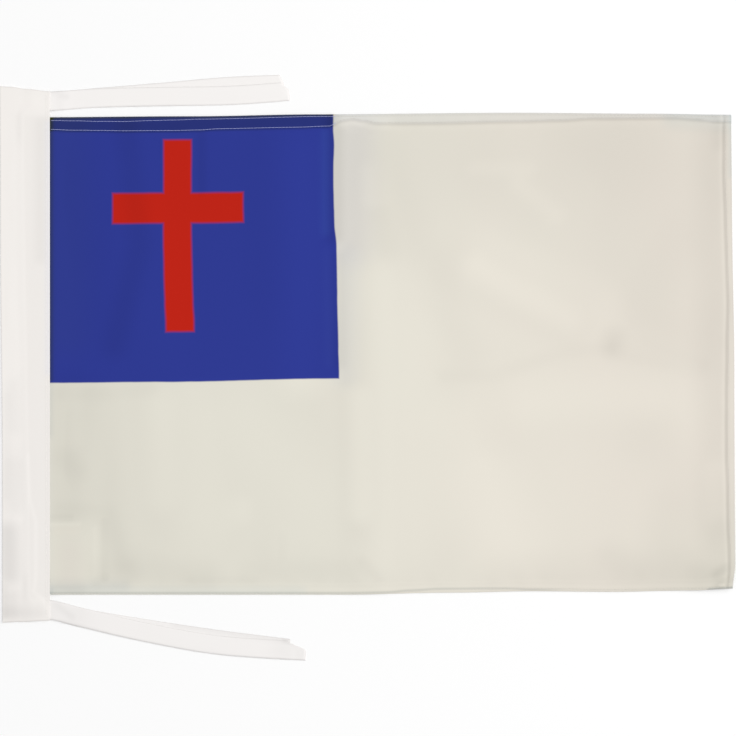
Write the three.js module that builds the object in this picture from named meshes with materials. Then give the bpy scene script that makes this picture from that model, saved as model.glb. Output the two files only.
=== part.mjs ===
// A small flag with ties, lying face up on a level surface.
// The field is one printed cloth with its top, bottom and fly edges turned into hems. A heading tape is
// folded over its hoist edge. Two ties are caught in the heading's ends, each a tape folded at its middle
// with two free tails. A small bare patch is sewn behind the lower hoist corner.
//
// Millimetres. +X runs towards the fly, +Y towards the top edge and +Z up. The origin is under the middle
// of the whole outline. Shapes are drawn with x from the heading's folded edge and y from the field's
// bottom edge, and are centred at the end.

import * as THREE from "three";
import { mergeVertices } from "three/addons/utils/BufferGeometryUtils.js";

const { lerp, smoothstep, clamp } = THREE.MathUtils;

// Cloth as it lies
const LAYER = 1; // one layer with its loft
const GAP = 0.3; // air between two layers
const HEM_RISE = 0.4; // what a turned hem adds to a layer
const LIFT = LAYER + GAP; // height of a layer that lies on another one
const PILE = 2 * LAYER + GAP; // two layers that lie on each other

// Field
const FIELD_HEIGHT = 300;
const FLY_X = 462.3; // fly edge at the bottom corner
const TOP_HEM = 6.3;
const BOTTOM_HEM = 6;
const FLY_HEM = 5;
const HEM_STEP = 0.8; // width of the slope from the hem down to one layer

// Heading tape, once folded
const OPEN_X = 31.4; // its open edge, sewn through the field
const HEADING_TOP = 318;
const HEADING_BOTTOM = -16.8;
const MARGIN_X = 15.1; // hoist edge of the field inside the tape, at the top
const LEDGE_X = OPEN_X + 1.6; // where cloth that leaves the tape begins to slope down
const FLOOR_X = 47; // where it reaches the surface

// Ties
const TIE_WIDTH = 12;
const TIE_ROOT_X = 21; // fold of the tie, inside the heading

// Patch behind the lower hoist corner
const PATCH = { left: OPEN_X + GAP, right: 62.9, bottom: 6.6, top: 46.3, corner: 3 };
const PATCH_RIM = 1.2; // how far the raised cloth reaches past the patch
const PATCH_SLOPE = 6; // width of the slope around it

// Print
const CANTON = { x: 211, y: 135 }; // its lower fly corner
const CROSS = {
  left: 71.2, right: 154, upright_left: 103.4, upright_right: 121,
  bottom: 165.9, top: 285.4, arm_bottom: 233.6, arm_top: 252.4,
};
const PRINT_EDGE = 0.6; // distance between the two grid lines at an edge of the print

// Edges as they lie, a row for each place where they turn
const TOP_EDGE = [
  { x: 0, y: 300 },
  { x: 121, y: 300.8 },
  { x: 200, y: 302 },
  { x: 322, y: 303 },
  { x: 410, y: 302.4 },
  { x: 462, y: 301.7 },
];
const BOTTOM_EDGE = [
  { x: 0, y: 0 },
  { x: 215, y: 0 },
  { x: 284, y: 1.3 },
  { x: 334, y: 2.2 },
  { x: 385, y: 1.8 },
  { x: 435, y: 2.7 },
  { x: 462, y: 3.9 },
];
const FLY_EDGE = [
  { y: 0, x: FLY_X },
  { y: 140, x: 461.9 },
  { y: 240, x: 460.4 },
  { y: 300, x: 459.9 },
];
const MARGIN_EDGE = [
  { y: 0, x: 18.9 },
  { y: 300, x: MARGIN_X },
];
const CANTON_EDGE = [
  { y: 135, x: 213.9 },
  { y: 175, x: 212.6 },
  { y: 215, x: 211.6 },
  { y: 245, x: 210.7 },
  { y: 275, x: 209.9 },
  { y: 300, x: 209.6 },
];
const CANTON_BOTTOM = [
  { x: 31, y: 133.1 },
  { x: 100, y: 133.7 },
  { x: 210, y: 135.8 },
];
const FOLDED_EDGE = [
  { y: -17, x: 1.6 },
  { y: 60, x: 1.6 },
  { y: 250, x: 0.3 },
  { y: 320, x: 0 },
];
const TAPE_TOP = [
  { x: 0, y: 319.6 },
  { x: 7, y: 319.3 },
  { x: 16, y: 318 },
  { x: 31, y: 316.5 },
];
const TAPE_BOTTOM = [
  { x: 0, y: -17.6 },
  { x: 12, y: -17.1 },
  { x: 31, y: -16.3 },
];

// Underside of the heading's upper layer over what is sewn into it
const TAPE_HEIGHT = [
  { y: -2.2, z: PILE + LIFT + GAP },
  { y: 7, z: PILE + HEM_RISE + GAP },
  { y: 12, z: PILE + GAP },
  { y: 288, z: PILE + GAP },
  { y: 293, z: PILE + HEM_RISE + GAP },
  { y: 303.6, z: PILE + LIFT + GAP },
];

// Slack of the heading's upper layer between its fold and the field: its rise, and the lengths along the
// heading over which it comes and goes
const PUFF = { rise: 0.35, short: 19, long: 47 };

// Soft folds of the field: each is a ridge along a line, half as wide as given and as high as rise
const RIDGES = [
  { name: "packing crease", x1: 229.6, y1: 286, x2: 230.8, y2: 12, half: 20, rise: 0.8 },
  { name: "beside the crease", x1: 246, y1: 150, x2: 254, y2: 50, half: 40, rise: 0.9 },
  { name: "upper fly", x1: 322, y1: 268, x2: 346, y2: 246, half: 38, rise: 1 },
  { name: "above the long crease", x1: 298, y1: 206, x2: 366, y2: 178, half: 30, rise: 1.3 },
  { name: "below the long crease", x1: 330, y1: 110, x2: 420, y2: 120, half: 36, rise: 1.3 },
  { name: "fly side", x1: 420, y1: 184, x2: 442, y2: 220, half: 32, rise: 0.9 },
  { name: "lower hoist", x1: 102, y1: 112, x2: 112, y2: 48, half: 36, rise: 1.3 },
  { name: "beside the heading", x1: 54, y1: 112, x2: 52, y2: 80, half: 18, rise: 0.6 },
  { name: "above the bottom hem", x1: 176, y1: 26, x2: 214, y2: 24, half: 20, rise: 0.6 },
  { name: "canton", x1: 68, y1: 256, x2: 90, y2: 166, half: 38, rise: 1 },
  { name: "canton, fly side", x1: 178, y1: 276, x2: 186, y2: 186, half: 34, rise: 0.9 },
];
const DIMPLE = { x: 385, y: 155, radius: 9 };
const LIFTED_CORNER = { x: FLY_X, y: 3.9, reach: 55, rise: 1.4 };

// Tails of the ties: middle line of each, and how much its outer corner is cut back
const TIES = {
  upper_tie: {
    under: {
      line: [[TIE_ROOT_X, 310.2], [36, 310.5], [62, 312.6], [102, 315.9], [142, 319.4], [178.5, 321]],
      corner: 2.2,
    },
    over: {
      line: [[TIE_ROOT_X, 310.2], [36, 310.5], [62, 312.3], [102, 313.2], [146, 314], [182, 316.6]],
      corner: 4.6,
    },
  },
  lower_tie: {
    under: {
      line: [[TIE_ROOT_X, -8.8], [34, -10], [53, -14.9], [93, -21.7], [138, -28.4], [182.6, -34]],
      corner: 0.8,
    },
    over: {
      line: [[TIE_ROOT_X, -8.8], [34, -10], [53, -14.8], [93, -24], [138, -31.8], [192.5, -35.5]],
      corner: 12.5,
    },
  },
};

// Value of column `to` where column `from` is `at`, eased between the rows of a table
function follow(rows, from, to, at) {
  const next = rows.findIndex((row) => row[from] > at);
  if (next === 0) return rows[0][to];
  if (next < 0) return rows.at(-1)[to];
  const [before, after] = [rows[next - 1], rows[next]];
  return lerp(before[to], after[to], smoothstep(at, before[from], after[from]));
}

// Grid lines from start on: each span is cut into equal cells
function gridLines(start, spans) {
  const lines = [start];
  for (const { to, cells } of spans) {
    const from = lines.at(-1);
    for (let k = 1; k <= cells; k++) lines.push(lerp(from, to, k / cells));
  }
  return lines;
}

// A closed sheet of columns by rows cells. place(column, row, outer, point) moves a corner of the grid, on
// its outer or its inner side, to its place, and paint may give that corner a colour.
function sheetGeometry(columns, rows, place, paint) {
  const box = new THREE.BoxGeometry(columns, rows, 1, columns, rows, 1);
  box.deleteAttribute("normal");
  box.deleteAttribute("uv");
  const sheet = mergeVertices(box);
  const position = sheet.getAttribute("position");
  const colors = [];
  const point = new THREE.Vector3();
  for (let k = 0; k < position.count; k++) {
    const column = Math.round(position.getX(k) + columns / 2);
    const row = Math.round(position.getY(k) + rows / 2);
    place(column, row, position.getZ(k) > 0, point);
    position.setXYZ(k, point.x, point.y, point.z);
    if (paint) colors.push(...paint(column, row).toArray());
  }
  if (paint) sheet.setAttribute("color", new THREE.Float32BufferAttribute(colors, 3));
  sheet.computeVertexNormals();
  return sheet;
}

function fabric(color, roughness) {
  return new THREE.MeshStandardMaterial({ color, roughness, metalness: 0 });
}

// Height of a soft ridge at a distance from its line
function ridgeHeight(ridge, x, y) {
  const [alongX, alongY] = [ridge.x2 - ridge.x1, ridge.y2 - ridge.y1];
  const reach = (x - ridge.x1) * alongX + (y - ridge.y1) * alongY;
  const share = clamp(reach / (alongX ** 2 + alongY ** 2), 0, 1);
  const away = Math.hypot(x - ridge.x1 - share * alongX, y - ridge.y1 - share * alongY);
  return ridge.rise * (1 - smoothstep(away, 0, ridge.half));
}

// How far the cloth of the field stands off the surface
function fieldLift(x, y) {
  const hoist = LIFT * (1 - smoothstep(x, LEDGE_X, FLOOR_X));
  const [overX, overY] = [x - PATCH.right - PATCH_RIM, y - PATCH.top - PATCH_RIM];
  const past = Math.max(overX, overY, 0) / PATCH_SLOPE;
  const sill = smoothstep(y, 0, BOTTOM_HEM);
  const patch = LIFT * sill * (1 - smoothstep(past, 0, 1));
  const folds = RIDGES.reduce((sum, ridge) => sum + ridgeHeight(ridge, x, y), 0);
  const dimple = Math.exp(-(((x - DIMPLE.x) ** 2 + (y - DIMPLE.y) ** 2) / DIMPLE.radius ** 2));
  const fromCorner = Math.hypot(x - LIFTED_CORNER.x, y - LIFTED_CORNER.y) / LIFTED_CORNER.reach;
  const corner = LIFTED_CORNER.rise * (1 - smoothstep(fromCorner, 0, 1));
  return Math.max(hoist, patch, folds * (1 - dimple), corner);
}

// Where a grid line lies once the cloth is warped: places between the guides move with them
function warp(guides, at) {
  const next = Math.max(1, guides.findIndex((guide) => guide.at >= at));
  const [low, high] = [guides[next - 1], guides[next]];
  return lerp(low.now, high.now, (at - low.at) / (high.at - low.at));
}

function fieldPoint(gridX, gridY) {
  const x = warp(
    [
      { at: MARGIN_X, now: follow(MARGIN_EDGE, "y", "x", gridY) },
      { at: LEDGE_X, now: LEDGE_X },
      { at: CANTON.x, now: follow(CANTON_EDGE, "y", "x", gridY) },
      { at: FLY_X, now: follow(FLY_EDGE, "y", "x", gridY) },
    ],
    gridX,
  );
  const y = warp(
    [
      { at: 0, now: follow(BOTTOM_EDGE, "x", "y", x) },
      { at: CANTON.y, now: follow(CANTON_BOTTOM, "x", "y", x) },
      { at: FIELD_HEIGHT, now: follow(TOP_EDGE, "x", "y", x) },
    ],
    gridY,
  );
  return { x, y };
}

function makeField() {
  const half = PRINT_EDGE / 2;
  const linesX = gridLines(MARGIN_X, [
    { to: LEDGE_X, cells: 2 },
    { to: FLOOR_X, cells: 3 },
    { to: PATCH.right + PATCH_RIM, cells: 2 },
    { to: CROSS.left - half, cells: 1 },
    { to: CROSS.left + half, cells: 1 },
    { to: CROSS.upright_left - half, cells: 3 },
    { to: CROSS.upright_left + half, cells: 1 },
    { to: CROSS.upright_right - half, cells: 2 },
    { to: CROSS.upright_right + half, cells: 1 },
    { to: CROSS.right - half, cells: 3 },
    { to: CROSS.right + half, cells: 1 },
    { to: CANTON.x - half, cells: 5 },
    { to: CANTON.x + half, cells: 1 },
    { to: FLY_X - FLY_HEM - HEM_STEP, cells: 22 },
    { to: FLY_X - FLY_HEM, cells: 1 },
    { to: FLY_X, cells: 1 },
  ]);
  const linesY = gridLines(0, [
    { to: BOTTOM_HEM, cells: 1 },
    { to: BOTTOM_HEM + HEM_STEP, cells: 1 },
    { to: PATCH.top + PATCH_RIM, cells: 4 },
    { to: PATCH.top + PATCH_RIM + PATCH_SLOPE, cells: 1 },
    { to: CANTON.y - half, cells: 7 },
    { to: CANTON.y + half, cells: 1 },
    { to: CROSS.bottom - half, cells: 3 },
    { to: CROSS.bottom + half, cells: 1 },
    { to: CROSS.arm_bottom - half, cells: 6 },
    { to: CROSS.arm_bottom + half, cells: 1 },
    { to: CROSS.arm_top - half, cells: 2 },
    { to: CROSS.arm_top + half, cells: 1 },
    { to: CROSS.top - half, cells: 3 },
    { to: CROSS.top + half, cells: 1 },
    { to: FIELD_HEIGHT - TOP_HEM - HEM_STEP, cells: 1 },
    { to: FIELD_HEIGHT - TOP_HEM, cells: 1 },
    { to: FIELD_HEIGHT, cells: 1 },
  ]);
  const place = (column, row, upper, point) => {
    const { x, y } = fieldPoint(linesX[column], linesY[row]);
    const hemmed =
      linesX[column] >= FLY_X - FLY_HEM ||
      linesY[row] <= BOTTOM_HEM ||
      linesY[row] >= FIELD_HEIGHT - TOP_HEM;
    const thickness = LAYER + (hemmed ? HEM_RISE : 0);
    point.set(x, y, fieldLift(x, y) + (upper ? thickness : 0));
  };
  const undyed = new THREE.Color("#e3ded2");
  const blue = new THREE.Color("#303c92");
  const red = new THREE.Color("#bd2417");
  const paint = (column, row) => {
    const [x, y] = [linesX[column], linesY[row]];
    if (x > CANTON.x || y < CANTON.y) return undyed;
    const inUpright =
      x > CROSS.upright_left && x < CROSS.upright_right && y > CROSS.bottom && y < CROSS.top;
    const inArm = x > CROSS.left && x < CROSS.right && y > CROSS.arm_bottom && y < CROSS.arm_top;
    return inUpright || inArm ? red : blue;
  };
  const geometry = sheetGeometry(linesX.length - 1, linesY.length - 1, place, paint);
  const material = new THREE.MeshStandardMaterial({ vertexColors: true, roughness: 0.75, metalness: 0 });
  const field = new THREE.Mesh(geometry, material);
  field.name = "field";
  return field;
}

// Steps along a cloth that is folded back on itself, from the open end of its lower layer through the fold
// to the open end of its upper layer. reach is the share of the way from the fold to the open end, and
// turn is the angle around the fold: down is the lower layer and up the upper one.
function foldedSteps(lowerShares, upperShares, foldCells) {
  const down = -Math.PI / 2;
  const lower = lowerShares.map((reach) => ({ reach, turn: down }));
  const fold = Array.from({ length: foldCells - 1 }, (_, k) => ({
    reach: 0,
    turn: down + (Math.PI * (k + 1)) / foldCells,
  }));
  const upper = upperShares.map((reach) => ({ reach, turn: -down }));
  return [...lower.reverse(), ...fold, ...upper];
}

// Offset of a layer from the middle of the fold: back from it and up from it
function foldOffset(turn, outer) {
  const radius = outer ? PILE / 2 : GAP / 2;
  return { back: radius * Math.cos(turn), up: radius * Math.sin(turn) };
}

function makeHeading() {
  const looseShares = [0, 0.25, 0.5, 0.75, 1]; // from the fold to the field's hoist edge
  const sewnShares = [1.33, 1.67, 2]; // from there to the open edge
  const steps = foldedSteps([0, 1, 2], [...looseShares, ...sewnShares], 6);
  const rows = gridLines(HEADING_BOTTOM, [
    { to: -9, cells: 1 },
    { to: -2.2, cells: 1 },
    { to: 7, cells: 2 },
    { to: 12, cells: 1 },
    { to: 288, cells: 22 },
    { to: 293, cells: 1 },
    { to: 303.6, cells: 2 },
    { to: 311, cells: 1 },
    { to: HEADING_TOP, cells: 1 },
  ]);
  const place = (column, row, outer, point) => {
    const { reach, turn } = steps[column];
    const gridY = rows[row];
    const foldMiddle = follow(FOLDED_EDGE, "y", "x", gridY) + PILE / 2;
    const ledge = follow(MARGIN_EDGE, "y", "x", gridY) - GAP - LAYER;
    const x = reach < 1 ? lerp(foldMiddle, ledge, reach) : lerp(ledge, OPEN_X, reach - 1);
    const { back, up } = foldOffset(turn, outer);
    const upperLayer = turn === Math.PI / 2;
    const sewnIn = follow(TAPE_HEIGHT, "y", "z", gridY) - LIFT;
    const wave = 1 + Math.sin(gridY / PUFF.short) * Math.cos(gridY / PUFF.long);
    const loose = reach < 1 ? PUFF.rise * wave * Math.sin(Math.PI * reach) : 0;
    const spread = upperLayer ? Math.max(sewnIn * smoothstep(reach, 0.25, 1), loose) : 0;
    let y = gridY;
    if (row === 0) y = follow(TAPE_BOTTOM, "x", "y", x);
    if (row === rows.length - 1) y = follow(TAPE_TOP, "x", "y", x);
    point.set(x - back, y, PILE / 2 + up + spread);
  };
  const heading = new THREE.Mesh(
    sheetGeometry(steps.length - 1, rows.length - 1, place),
    fabric("#efebe7", 0.7),
  );
  heading.name = "heading";
  return heading;
}

function makeTie(name, { under, over }) {
  const tailShares = [0, 0.07, 0.1, 0.14, 0.18, 0.24, 0.32, 0.4, 0.5, 0.6, 0.7, 0.8, 0.9, 1];
  const steps = foldedSteps(tailShares, tailShares, 6);
  const widthCells = 4;
  const tails = [under, over].map(({ line, corner }) => ({
    curve: new THREE.SplineCurve(line.map(([x, y]) => new THREE.Vector2(x, y))),
    corner,
  }));
  const [middle, heading] = [new THREE.Vector2(), new THREE.Vector2()];
  const place = (column, row, outer, point) => {
    const { reach, turn } = steps[column];
    const upperLayer = turn === Math.PI / 2;
    const { curve, corner } = tails[upperLayer ? 1 : 0];
    const across = row / widthCells - 0.5; // from the lower edge to the upper one
    const cornerShare = smoothstep(across, 0, 0.5) * smoothstep(reach, 0.9, 1);
    const at = reach - (corner * cornerShare) / curve.getLength();
    curve.getPointAt(at, middle);
    curve.getTangentAt(at, heading);
    const x = middle.x - heading.y * across * TIE_WIDTH;
    const y = middle.y + heading.x * across * TIE_WIDTH;
    const { back, up } = foldOffset(turn, outer);
    const ledge = LIFT * (1 - smoothstep(x, LEDGE_X, FLOOR_X));
    point.set(x - back * heading.x, y - back * heading.y, PILE / 2 + up + ledge);
  };
  const tie = new THREE.Mesh(
    sheetGeometry(steps.length - 1, widthCells, place),
    fabric("#f5f3ef", 0.65),
  );
  tie.name = name;
  return tie;
}

function makePatch() {
  const { left, right, bottom, top, corner } = PATCH;
  const outline = new THREE.Shape();
  outline.moveTo(left, bottom);
  outline.lineTo(right - corner, bottom);
  outline.absarc(right - corner, bottom + corner, corner, -Math.PI / 2, 0);
  outline.lineTo(right, top - corner);
  outline.absarc(right - corner, top - corner, corner, 0, Math.PI / 2);
  outline.lineTo(left, top);
  outline.closePath();
  const geometry = new THREE.ExtrudeGeometry(outline, {
    depth: LAYER,
    bevelEnabled: false,
    curveSegments: 5,
  });
  const patch = new THREE.Mesh(geometry, fabric("#f2f0ec", 0.6));
  patch.name = "back_patch";
  return patch;
}

const flag = new THREE.Group();
flag.add(makeField(), makeHeading(), makePatch());
for (const [name, tails] of Object.entries(TIES)) flag.add(makeTie(name, tails));

const outline = new THREE.Box3().setFromObject(flag);
const middle = outline.getCenter(new THREE.Vector3());
flag.position.set(-middle.x, -middle.y, -outline.min.z);
flag.updateMatrixWorld(true);

export default flag;
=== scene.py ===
import math

import bmesh
import bpy
from mathutils import Matrix, Vector, noise


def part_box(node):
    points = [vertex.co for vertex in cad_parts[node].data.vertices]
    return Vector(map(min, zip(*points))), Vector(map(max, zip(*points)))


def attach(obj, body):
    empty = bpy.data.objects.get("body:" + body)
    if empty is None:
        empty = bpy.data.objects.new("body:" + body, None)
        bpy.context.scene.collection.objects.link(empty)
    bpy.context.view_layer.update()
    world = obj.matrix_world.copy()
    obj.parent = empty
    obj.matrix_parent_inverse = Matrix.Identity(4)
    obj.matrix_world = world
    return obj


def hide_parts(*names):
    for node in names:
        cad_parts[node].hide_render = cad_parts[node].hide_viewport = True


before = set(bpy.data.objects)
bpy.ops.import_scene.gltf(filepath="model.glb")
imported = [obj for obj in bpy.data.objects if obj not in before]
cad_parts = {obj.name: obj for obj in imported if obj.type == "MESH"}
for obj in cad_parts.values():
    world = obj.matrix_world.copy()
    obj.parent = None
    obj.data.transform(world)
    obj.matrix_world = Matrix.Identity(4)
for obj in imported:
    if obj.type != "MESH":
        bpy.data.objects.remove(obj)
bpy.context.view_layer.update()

# A small flag with ties that lies face up, photographed from straight above.
#
# Sizes are in millimetres and turn into metres when a mesh is placed. A place on the flag is x from the
# heading's folded edge towards the fly and y from the field's bottom edge upwards, as a cutter marks it.
# The solids of the frame stand for layers of 1 mm, so that they can be made and weighed. The sheets here
# have the same outline and folds and lie as close as the real thin cloth does.

HEADING_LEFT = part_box("heading")[0][0]  # metres, where x is 0
FIELD_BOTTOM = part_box("field")[0][1]  # metres, where y is 0

# Thickness of the cloths, with the air between two that lie on each other
CLOTH = 0.25  # field and patch
TAPE = 0.3
RIBBON = 0.16  # ties
AIR = 0.06
STITCH_ROOM = 0.06  # air under the flag, which lies on the stitches of its back

# Field
FIELD_TOP = 300
FLY_X = 462.3
MARGIN_X = 15.1  # its hoist edge, inside the heading
TOP_HEM, BOTTOM_HEM, FLY_HEM = 6.3, 6, 5  # width turned under
HEM_SLOPE = 1.2  # width of the slope from a hem down to one layer
TURN = 0.16  # radius of a turned edge
CORNER_TURN = 0.48  # radius where a turned edge encloses another hem
CORNER_NEAR, CORNER_FULL = 9, 1  # that radius grows over this stretch before the fly hem
BOTTOM_HEM_SHARE = 0.9  # width of the bottom hem as it is sewn, as a share of what was cut for it

# Mesh cells of the field, and the stretches beside a hem that get finer ones
CELL = 2.5
HOIST_CELL = 1.6
FINE_CELL = 0.7
HIDDEN_CELL = 1  # in the cloth turned under
FLY_TURN_CELL, TURN_CELL = 0.12, 0.16  # round a turned edge
FLY_TURN, TOP_TURN = 0.4, 0.8  # cloth past the edge that a turn takes up
FINE_FLY, FINE_TOP, FINE_BOTTOM = 5, 7, 4

# Unevenness of the field: height and size of its waves, and the distances over which they come and go
SLACK = dict(height=0.35, across=48, along=62, past_floor=25, past_edge=20)
PUCKER = dict(height=0.16, size=9, full=2, gone=13)
SEAM_DEPTH = 0.07

# What a hem or an edge does to the cloth's red, green and blue, as shares: doubled cloth is greyer, its
# turned edges and seams and the cloth beside the tape carry painted shade, and the blue is lighter along its
# top edge
HEM_WHITE = Vector((-0.025, -0.005, 0.03))
HEM_LINE = Vector((-0.13, -0.135, -0.135))
FLY_LINE = Vector((-0.11, -0.115, -0.115))
EDGE_LINE = Vector((-0.07, -0.06, -0.04))
BOTTOM_LINE = Vector((-0.2, -0.18, -0.17))
TOP_HEM_BLUE = Vector((-0.25, -0.25, -0.37))
TOP_EDGE_BLUE = Vector((0.6, 0.3, -0.3))
BESIDE_TAPE = Vector((-0.09, -0.07, -0.04))
BESIDE_TAPE_BLUE = Vector((0, -0.1, -0.5))
TAPE_SHADE = 3.6  # width of the shade beside the tape
TOP_LINE_WIDTH, FLY_LINE_WIDTH, BOTTOM_LINE_WIDTH = 1, 0.9, 0.7

# Bands of painted light below the top hem, beside the fly hem, and along the fly and bottom hems: tone,
# place, width
LIGHT_BANDS = [(0.012, 2.8, 1.8), (0.04, 2, 1.2), (0.02, 1.8, 1.4), (0.03, 3.2, 1.7)]

# Heading tape, folded lengthwise over the margin
OPEN_X = 31.4  # its open edge
HEADING_TURN = 0.24  # radius of its fold
HEADING_QUARTER = math.pi * HEADING_TURN / 2  # a quarter of a turn, along the cloth
HEADING_WIDTH = OPEN_X - 2 * HEADING_TURN  # of one layer, once the fold is made
TAPE_WAVE = dict(height=0.08, across=9, along=26)
# Painted light along the tape's fold and painted shade by its open edge; the margin inside shows through
# darker
FOLD_LIGHT, DOUBLED_SHADE, OPEN_EDGE_SHADE = 0.02, 0.03, 0.04  # tones along its fold, margin and open edge
LEDGE_X = OPEN_X + 1.6  # cloth that leaves the tape slopes down from here
FLOOR_X = 47  # and reaches the surface here

# Ties
TIE_WIDTH = 12
TIE_ROOT_X = 21  # where its fold lies
TIE_TURN = (RIBBON + AIR) / 2  # radius of its fold
TIE_WAVE = dict(height=0.25, length=34, full=70, upper_tie=7, lower_tie=2)  # each tie has waves of its own
TAIL_EDGE, TAIL_DOWN = 0.3, 3  # past the under tail, the over tail comes down between these
CUT_FROM = 0.8  # share of a tail's length from which its cells shorten to the cut corner
CURVE_STEPS = 24  # between two given points of a tail's middle line

# Patch sewn behind the lower hoist corner
PATCH = dict(left=31.7, right=62.9, bottom=6.6, top=46.3, corner=3)
PATCH_RIM = 1.2
PATCH_SLOPE = 6

# Print
CANTON = dict(left=31, right=211, bottom=135, top=330)
UPRIGHT = dict(left=103.4, right=121, bottom=166.2, top=285.4)
ARM = dict(left=71.2, right=153.8, bottom=233.6, top=252.4)
CANTON_INK_EDGE = 0.6  # half the width over which the ink fades at an edge
CROSS_INK_EDGE = 1.2
INK_STRAYS, INK_STRAYS_OVER = 0.5, 14  # how far an edge of ink strays, and over what length
# Undyed cloth is a shade greener at the hoist and pinker at the fly, and the change is cloudy
HUE_START, HUE_END, HUE_STRAYS, HUE_CLOUD = 260, 520, 160, 90

# Edges as they lie: place along the edge, then where it is
TOP_EDGE = [(0, 300), (121, 300.8), (200, 302), (322, 303), (410, 302.4), (462, 301.7)]
BOTTOM_EDGE = [(0, 0), (215, 0), (284, 1.3), (334, 2.2), (385, 1.8), (435, 2.7), (462, 3.9)]
FLY_EDGE = [(0, 460.7), (15, 462.3), (140, 461.9), (240, 460.4), (300, 459.9)]
MARGIN_EDGE = [(0, 18.9), (300, 15.1)]
CANTON_EDGE = [
    (135, 213.4), (154, 212.9), (185, 212.2), (217, 211.8), (232, 210.4), (248, 209.9), (264, 209.7),
    (280, 210.2), (292, 209.6),
]
CANTON_BOTTOM = [(31, 133.1), (100, 133.7), (210, 135.8)]
UPRIGHT_MIDDLE = [
    (135, 113.2), (172, 113.2), (185, 112.5), (204, 111.9), (223, 111.5), (264, 111.6), (285, 111.7),
]
FOLDED_EDGE = [(-17, 1.6), (60, 1.6), (250, 0.3), (320, 0)]
TAPE_TOP = [(0, 319.6), (7, 319.3), (16, 318), (31, 316.5)]
TAPE_BOTTOM = [(0, -17.6), (12, -17.1), (31, -16.3)]

# What lies between the heading's two layers, along y: its edge, the width of the step over it and the
# distance it keeps between the two
SEWN_EDGE = [(-9, TIE_ROOT_X + 1), (-1, 18.9), (301, 15.1), (309, TIE_ROOT_X + 1)]
SEWN_STEP = [(-9, 9), (-1, 5), (301, 5), (309, 9)]
ONE_LAYER_IN = TAPE + CLOTH + 2 * AIR
HEM_IN = ONE_LAYER_IN + 2 * TURN
TIE_IN = TAPE + 2 * RIBBON + 3 * AIR
SEWN_IN = [
    (-8, TIE_IN), (-1, HEM_IN), (7.5, HEM_IN), (18, ONE_LAYER_IN), (278, ONE_LAYER_IN), (290.5, HEM_IN),
    (301, HEM_IN), (306, TIE_IN),
]

# Width of the hems as they are sewn: place along the edge, then width
TOP_HEM_WIDTH = [
    (31, 8.3), (47, 8.9), (63, 9.2), (79, 9.6), (110, 9.6), (126, 9.3), (138, 8.7), (189, 8.7),
    (208, 8.1), (217, 4.2), (223, 3.4), (230, 4.4), (239, 6.2), (277, 6.4), (327, 5.7), (352, 4.9),
    (377, 3.4), (403, 3.1), (428, 2.8), (440, 3.4), (450, 4.4),
]
FLY_HEM_WIDTH = [
    (8, 3.2), (17, 3.5), (47, 4.4), (62, 4.5), (88, 5.1), (122, 5), (155, 4.5), (185, 3.4), (210, 3.8),
    (236, 4.2), (262, 4.9), (286, 4.6), (300, 4.3),
]

# Seams: place along the seam, then how far it runs from the edge
STITCH = 2.2
STITCH_SHOWN = 2.12  # without the gap to the next one
THREAD = 0.21
THREAD_ON_FACE = THREAD / 8  # height of its middle over the face
THREAD_ON_BACK = THREAD / 4  # and over the back's own level, as it sinks in there
SEAM_INSIDE = 0.8  # from a hem's inner edge to its seam
SEAM_END, SEAM_STEP = 1.5, 2  # where a seam stops before an edge, and the distance of its places
TOP_SEAM = [
    (31, 2), (47, 2.3), (63, 2.8), (79, 3), (94, 2.6), (110, 2.3), (126, 1.8), (157, 1.7), (207, 1.3),
    (300, 1.3), (462, 1.2),
]
BOTTOM_SEAM = [(31, 0.7), (214, 0.7), (252, 0.9), (277, 1.9), (330, 1.9), (380, 1.5), (440, 1.1)]
HEADING_SEAM = 2.2
BOTTOM_LINE_AT = [(31, 1), (242, 1), (256, 1.8), (277, 2.5), (295, 2.5), (315, 2), (335, 1)]  # shaded line
BOTTOM_LINE_SHARE = [(335, 1), (360, 0.2)]


def fold(name, line, half, height):
    """A soft fold along a line: half its width, and how high or deep it is."""
    return dict(name=name, line=line, half=half, height=height)


# Soft ridges of the field
RIDGES = [
    fold("packing crease", [(229.6, 286), (230.8, 12)], 20, 0.8),
    fold("beside the crease", [(246, 150), (254, 50)], 40, 0.9),
    fold("upper fly", [(322, 268), (346, 246)], 38, 1),
    fold("above the long crease", [(298, 206), (366, 178)], 30, 1.3),
    fold("below the long crease", [(330, 110), (420, 120)], 36, 1.3),
    fold("fly side", [(420, 184), (442, 220)], 32, 0.9),
    fold("lower hoist", [(102, 112), (112, 48)], 36, 1.3),
    fold("beside the heading", [(54, 112), (52, 80)], 18, 0.6),
    fold("above the bottom hem", [(176, 26), (214, 24)], 20, 0.6),
    fold("canton", [(68, 256), (90, 166)], 38, 1),
    fold("canton, fly side", [(178, 276), (186, 186)], 34, 0.9),
]
DIMPLE = dict(place=(385, 155), radius=9)
LIFTED_CORNER = dict(place=(462.3, 3.9), reach=55, rise=1.4)

# Narrow creases that only the thin cloth takes
CREASES = [
    fold("long crease", [(276, 137), (309, 137), (346, 150), (380, 156), (404, 155), (440, 144)], 7, 0.25),
    fold("at the bottom hem", [(226, 21), (237, 9)], 5, 0.15),
    fold("above the patch", [(33, 49), (52, 48)], 2.4, 0.2),
    fold("top of the packing crease", [(217, 296), (222, 292), (232, 291)], 2.5, 0.2),
    fold("lower fly corner", [(448, 12), (457, 17)], 4, 0.4),
]


def stroke(name, line, half, tone=0, tint=(0, 0, 0)):
    """A soft stroke along a line: half its width, how much it lightens, and a tint of red, green and blue."""
    return dict(name=name, line=line, half=half, shade=Vector((tone,) * 3) + Vector(tint))
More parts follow.
